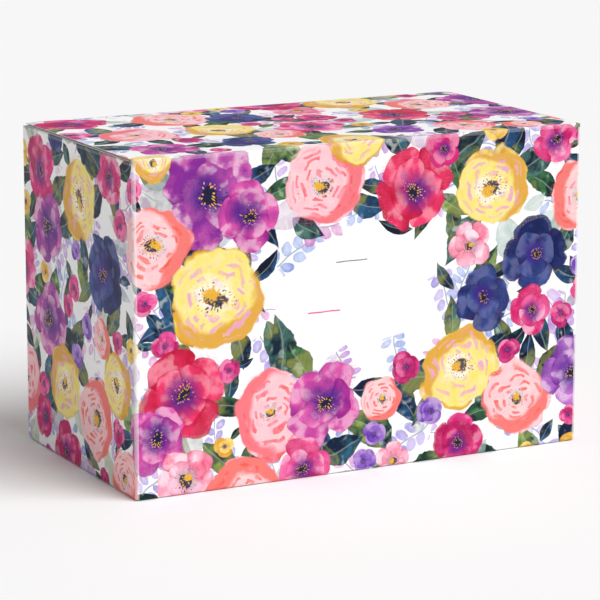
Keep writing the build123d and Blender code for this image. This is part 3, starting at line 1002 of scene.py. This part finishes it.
xt = L2 - 6.0
tuck_poly = [(-xt, 1.3), (xt, 1.3), (xt, 16.0), (xt - 1.2, 20.2), (xt - 4.2, 23.6), (xt - 9.0, 25.0), (-xt + 9.0, 25.0), (-xt + 4.2, 23.6), (-xt + 1.2, 20.2), (-xt, 16.0)]
f0, fs, s1, yb = LAX_Y + 3.0, 0.62, 72.0, 75.5
dust_poly = [(f0 + fs * 1.3, 1.3), (f0 + fs * (s1 - 8), s1 - 8), (f0 + fs * (s1 - 8) + 7, s1 - 1.5), (f0 + fs * (s1 - 8) + 14, s1),
             (yb - 22, s1), (yb - 13, s1 - 3), (yb - 6, s1 - 12), (yb, 15.3), (yb, 1.3)]
side_poly = [(-75.0, 142.5), (67.0, 142.5), (52.0, 96.0), (30.0, 62.0), (24.0, 60.0), (-8.0, 60.0), (-18.0, 64.0), (-32.0, 74.0), (-58.0, 100.0)]
glue_poly = [(80.5, 5.0), (80.5, 194.0), (55.0, 184.0), (55.0, 15.0)]
front_flap = [(-149.0, -80.5), (149.0, -80.5), (141.8, -75.4), (120.0, 4.0), (45.0, 4.0), (45.0, 36.0), (-45.0, 36.0), (-45.0, 4.0), (-120.0, 4.0), (-141.8, -75.4)]
back_flap = [(-140.0, 68.5), (-118.0, -12.0), (-56.0, -12.0), (-52.0, 19.0), (52.0, 19.0), (56.0, -12.0), (118.0, -12.0), (140.0, 68.5)]

PANELS = {
    "front_wall": ("carton", rect(-150.5, 150.5, 2.0, 200.9), lambda a, b, h: (a, -D2 + h, b), lambda a, b: (a, b)),
    "back_wall": ("carton", rect(-148.8, 150.5, 2.0, 202.4), lambda a, b, h: (a, D2 - h, b), lambda a, b: (470.0 - a, b)),
    "left_wall": ("carton", [(-80.5, 2.0), (82.5, 2.0), (82.5, 201.0), (76.5, 201.0), (76.5, 199.0), (-80.5, 199.0)], lambda a, b, h: (-L2 + h, a, b), lambda a, b: (-235.0 - a, b)),
    "right_wall": ("carton", [(-80.5, 2.0), (80.5, 2.0), (80.5, 201.0), (76.5, 201.0), (76.5, 199.0), (-80.5, 199.0)], lambda a, b, h: (L2 - h, a, b), lambda a, b: (235.0 + a, b)),
    "glue_flap": ("carton", glue_poly, lambda a, b, h: (-XG + h, a, b), lambda a, b: (705.0 - a, b)),
    "lid": ("lid", rect(-152.0, 152.0, -80.4, 78.5), lambda a, b, h: (a, b, H - h), lambda a, b: (a, b + 285.16)),
    "tuck_flap": ("tuck_flap", tuck_poly, tuck_world, lambda a, b: (a, 366.4 + b)),
    "dust_flap_left": ("dust_flap_left", dust_poly, lambda a, b, h: (-DAX_X + b, a, DAX_Z + 0.8 - h), lambda a, b: (-235.0 - a, 201.56 + b)),
    "dust_flap_right": ("dust_flap_right", dust_poly, lambda a, b, h: (DAX_X - b, a, DAX_Z + 0.8 - h), lambda a, b: (235.0 + a, 201.56 + b)),
    "bottom_front_flap": ("carton", front_flap, lambda a, b, h: (a, b, zf(b, a) + h), lambda a, b: (a, -(b + D2))),
    "bottom_back_flap": ("carton", back_flap, lambda a, b, h: (a, b, 3.4 + h), lambda a, b: (470.0 - a, -(D2 - b))),
    "bottom_left_flap": ("carton", side_poly, lambda a, b, h: (-b, a, 1.7 + h), lambda a, b: (-235.0 - a, -(L2 - b))),
    "bottom_right_flap": ("carton", side_poly, lambda a, b, h: (b, a, 1.7 + h), lambda a, b: (235.0 + a, -(L2 - b))),
}

made = []


def settle(ob, body, nodes):
    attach(ob, body)
    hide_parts(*nodes)
    made.append(ob)


for name, (body, poly, world, blank) in PANELS.items():
    o = slab(name + "_print", poly, world, blank, 0.0, LIN, [M_PRINT, M_EDGE, M_EDGE])
    settle(o, body, [name + "_outer_liner"])
    o = slab(name + "_lining", poly, world, blank, BRD, LIN + FLU, [M_PLAIN, M_PLAIN, M_PLAIN], cellsize=12.0)
    settle(o, body, [name + "_inner_liner"])
    o = flutes(name + "_flutes", poly, world, M_FLUTE, breaks=(4.0, 18.0) if name == "bottom_front_flap" else (), phase=0.7)
    settle(o, body, [name + "_fluting"])

# ---- folds ----
NSEG = 8


def arc(cy, cz, r, a0, a1, n=NSEG):
    return [(cy + r * math.cos(math.radians(a0 + (a1 - a0) * k / n)), cz + r * math.sin(math.radians(a0 + (a1 - a0) * k / n))) for k in range(n + 1)]


def ramp(t0, t1, n=NSEG):
    return [t0 + (t1 - t0) * k / n for k in range(n + 1)]


ri = R0 - BRD
FM = [M_FOLD_PAINTED_HIGHLIGHT, M_PLAIN, M_EDGE]
HM = [M_HINGE_PAINTED_HIGHLIGHT, M_PLAIN, M_EDGE]
PM = [M_PRINT, M_PLAIN, M_EDGE]
XC, YC = L2 - R0, D2 - R0
up = lambda s, l: (s[0], s[1], l)
# upright corners: front-left, front-right, back-right, glue flap
o = sweep("corner_fold_front_left_print", arc(-XC, -YC, R0, 180, 270), arc(-XC, -YC, ri, 180, 270), ramp(-154.5, -150.5), 0.6, 200.9, up, lambda t, l: (t, l), FM)
settle(o, "carton", ["corner_fold_front_left"])
o = sweep("corner_fold_front_right_print", arc(XC, -YC, R0, 270, 360), arc(XC, -YC, ri, 270, 360), ramp(150.5, 154.5), 0.6, 200.9, up, lambda t, l: (t, l), FM)
settle(o, "carton", ["corner_fold_front_right"])
o = sweep("corner_fold_back_right_print", arc(XC, YC, R0, 0, 90), arc(XC, YC, ri, 0, 90), ramp(315.5, 319.5), 0.6, 201.0, up, lambda t, l: (t, l), FM)
settle(o, "carton", ["corner_fold_back_right"])
o = sweep("glue_flap_fold_print", arc(-XG + R0, YC, R0, 90, 180), arc(-XG + R0, YC, ri, 90, 180), ramp(618.8, 624.5), 5.0, 194.0, up, lambda t, l: (t, l), FM)
settle(o, "carton", ["glue_flap_fold"])
# folds at the foot of the walls
along_x = lambda s, l: (l, s[0], s[1])
along_y = lambda s, l: (s[0], l, s[1])
o = sweep("bottom_fold_front_print", arc(-YC, R0, R0, 180, 270), arc(-YC, R0, ri, 180, 270), ramp(2.0, -2.0), -XC, XC, along_x, lambda t, l: (l, t), PM)
settle(o, "carton", ["bottom_fold_front"])
oo = arc(YC, R0, R0, 0, -90)
ii = arc(YC, R0, ri, 0, -90)
o = sweep("bottom_fold_back_print", oo, ii, ramp(2.0, -2.0), -XG + R0, XC, along_x, lambda t, l: (470.0 - l, t), PM)
settle(o, "carton", ["bottom_fold_back"])
o = sweep("bottom_ramp_back_print", [(YC, 0.0), (YC - 6, 1.7), (YC - 12, 3.4)], [(YC, BRD), (YC - 6, 1.7 + BRD), (YC - 12, 3.4 + BRD)], [-2.0, -8.0, -14.0], -140.0, 140.0,
          along_x, lambda t, l: (470.0 - l, t), PM)
settle(o, "carton", ["bottom_fold_back"])
for side, sx in (("left", -1), ("right", 1)):
    bl = (lambda t, l: (-235.0 - l, t)) if sx < 0 else (lambda t, l: (235.0 + l, t))
    a0, a1 = (180, 270) if sx < 0 else (0, -90)
    o = sweep(f"bottom_fold_{side}_print", arc(sx * XC, R0, R0, a0, a1), arc(sx * XC, R0, ri, a0, a1), ramp(2.0, -2.0), -YC, YC, along_y, bl, PM)
    settle(o, "carton", [f"bottom_fold_{side}"])
    o = sweep(f"bottom_ramp_{side}_print", [(sx * XC, 0.0), (sx * (XC - 4), 0.85), (sx * (XC - 8), 1.7)], [(sx * XC, BRD), (sx * (XC - 4), 0.85 + BRD), (sx * (XC - 8), 1.7 + BRD)],
              [-2.0, -6.0, -10.0], -75.0, 67.0, along_y, bl, PM)
    settle(o, "carton", [f"bottom_fold_{side}"])

# ---- creases at the moving flaps: a rounded strip of board from one panel to the other ----
def crease(name, ax, az, n0, n1, cross0, cross1, t_foot, l0, l1, world, blank, a, b, replaced, to_world_pt):
    """n0, n1: angles of the outer normals of the two panels about the axis. cross0/cross1: directions away from the axis along each panel."""
    h = 0.8
    u0, u1 = np.array(cross0), np.array(cross1)
    v0 = np.array((math.cos(math.radians(n0)), math.sin(math.radians(n0))))
    v1 = np.array((math.cos(math.radians(n1)), math.sin(math.radians(n1))))
    c = np.array((ax, az))
    outer = [tuple(c + u0 * 1.3 + v0 * h)] + arc(ax, az, h, n0, n1, 10) + [tuple(c + u1 * 1.3 + v1 * h)]
    # inner path: from panel 0's inner face, round the inside corner, to panel 1's
    p0, p1 = c + u0 * 1.3 - v0 * h, c + u1 * 1.3 - v1 * h
    w = v0 + v1
    w = w / (w @ w) * 2 * h
    mid = c - w
    inner = [tuple(p0)] + [tuple(p0 + (mid - p0) * k / 5) for k in range(5)] + [tuple(mid)] + [tuple(mid + (p1 - mid) * k / 5) for k in range(1, 6)] + [tuple(p1)]
    inner[1] = tuple(p0 + (mid - p0) * 0.08)
    inner[-2] = tuple(mid + (p1 - mid) * 0.92)
    al = math.radians(abs(n1 - n0)) * h
    ts = [t_foot - 1.3] + ramp(t_foot, t_foot + al, 10) + [t_foot + al + 1.3]
    ob = sweep(name, outer, inner, ts, l0, l1, world, blank, HM)
    d = (u1 - u0) / np.linalg.norm(u1 - u0)
    reach = min(abs((p1 - c) @ d), abs((p0 - c) @ d)) * 0.98
    s, e = c - d * reach, c + d * reach
    Vector(to_world_pt(s)) * MM
    Vector(to_world_pt(e)) * MM
    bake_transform(ob)
    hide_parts(*replaced)
    made.append(ob)
    return ob


crease("lid_crease_print", LAX_Y, LAX_Z, 180, 90, (0, -1), (1, 0), 202.2, -152.0, 152.0, along_x, lambda t, l: (l, t), "carton", "lid", ["lid_crease"], lambda s: (0, s[0], s[1]))
crease("tuck_crease_print", TAX_Y, TAX_Z, 90, -12, (-1, 0), (-sa_, -ca_), 364.96, -xt, xt, along_x, lambda t, l: (l, t), "lid", "tuck_flap", ["tuck_crease"], lambda s: (0, s[0], s[1]))
crease("dust_crease_left_print", -DAX_X, DAX_Z, 180, 90, (0, -1), (1, 0), 200.3, LAX_Y + 3.0, yb, along_y, lambda t, l: (-235.0 - l, t), "carton", "dust_flap_left", ["dust_crease_left"],
       lambda s: (s[0], 0, s[1]))
crease("dust_crease_right_print", DAX_X, DAX_Z, 0, 90, (0, -1), (-1, 0), 200.3, LAX_Y + 3.0, yb, along_y, lambda t, l: (235.0 + l, t), "carton", "dust_flap_right", ["dust_crease_right"],
       lambda s: (s[0], 0, s[1]))

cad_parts["glue_seam"].data.materials.clear()
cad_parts["glue_seam"].data.materials.append(M_GLUE)

# =====================================================================
# 6. floor, light, camera
# =====================================================================
scene = bpy.context.scene
scene.view_settings.view_transform = "Standard"
scene.view_settings.look = "None"
scene.view_settings.exposure = 0.0
scene.view_settings.gamma = 1.0

fm, fb = material("floor_pale")
tc = node("ShaderNodeTexCoord")
fn = noise(F(tc.outputs["Object"]), 3.0, 3.0)
put(fb.inputs["Base Color"], mix((0.890, 0.890, 0.890), (0.900, 0.900, 0.900), fn))
fb.inputs["Roughness"].default_value = 0.9
fb.inputs["Specular IOR Level"].default_value = 0.1
me = bpy.data.meshes.new("floor")
me.from_pydata([(-12, -12, -0.0002), (12, -12, -0.0002), (12, 12, -0.0002), (-12, 12, -0.0002)], [], [(0, 1, 2, 3)])
me.materials.append(fm)
floor = bpy.data.objects.new("floor", me)
scene.collection.objects.link(floor)

world = bpy.data.worlds.new("studio")
world.use_nodes = True
wb = world.node_tree.nodes["Background"]
wb.inputs["Color"].default_value = (1.0, 1.0, 1.0, 1)
wb.inputs["Strength"].default_value = 0.38
scene.world = world

# one very soft key from the front and the right, so that the left wall is the shaded one
ld = bpy.data.lights.new("key", "SUN")
ld.energy, ld.angle = 2.70, math.radians(45)
lo_ = bpy.data.objects.new("key", ld)
lo_.rotation_euler = (-Vector((0.42, -0.67, 1.0))).to_track_quat("-Z", "Y").to_euler()
scene.collection.objects.link(lo_)

a, e = math.radians(-27.58), math.radians(11.74)
back = Vector((math.sin(a) * math.cos(e), -math.cos(a) * math.cos(e), math.sin(e)))
cam_data = bpy.data.cameras.new("camera")
cam = bpy.data.objects.new("camera", cam_data)
cam.location = Vector((0, 0, 0.1015)) + back * (5.995 * 0.305)
cam.rotation_mode = "QUATERNION"
cam.rotation_quaternion = (-back).to_track_quat("-Z", "Y")
cam_data.sensor_width = 36.0
cam_data.lens = 36.0 * 2909.0 / 600.0
cam_data.shift_x = -1.5 / 600.0
cam_data.shift_y = -17.4 / 600.0
cam_data.clip_start, cam_data.clip_end = 0.05, 60
scene.collection.objects.link(cam)
scene.camera = cam
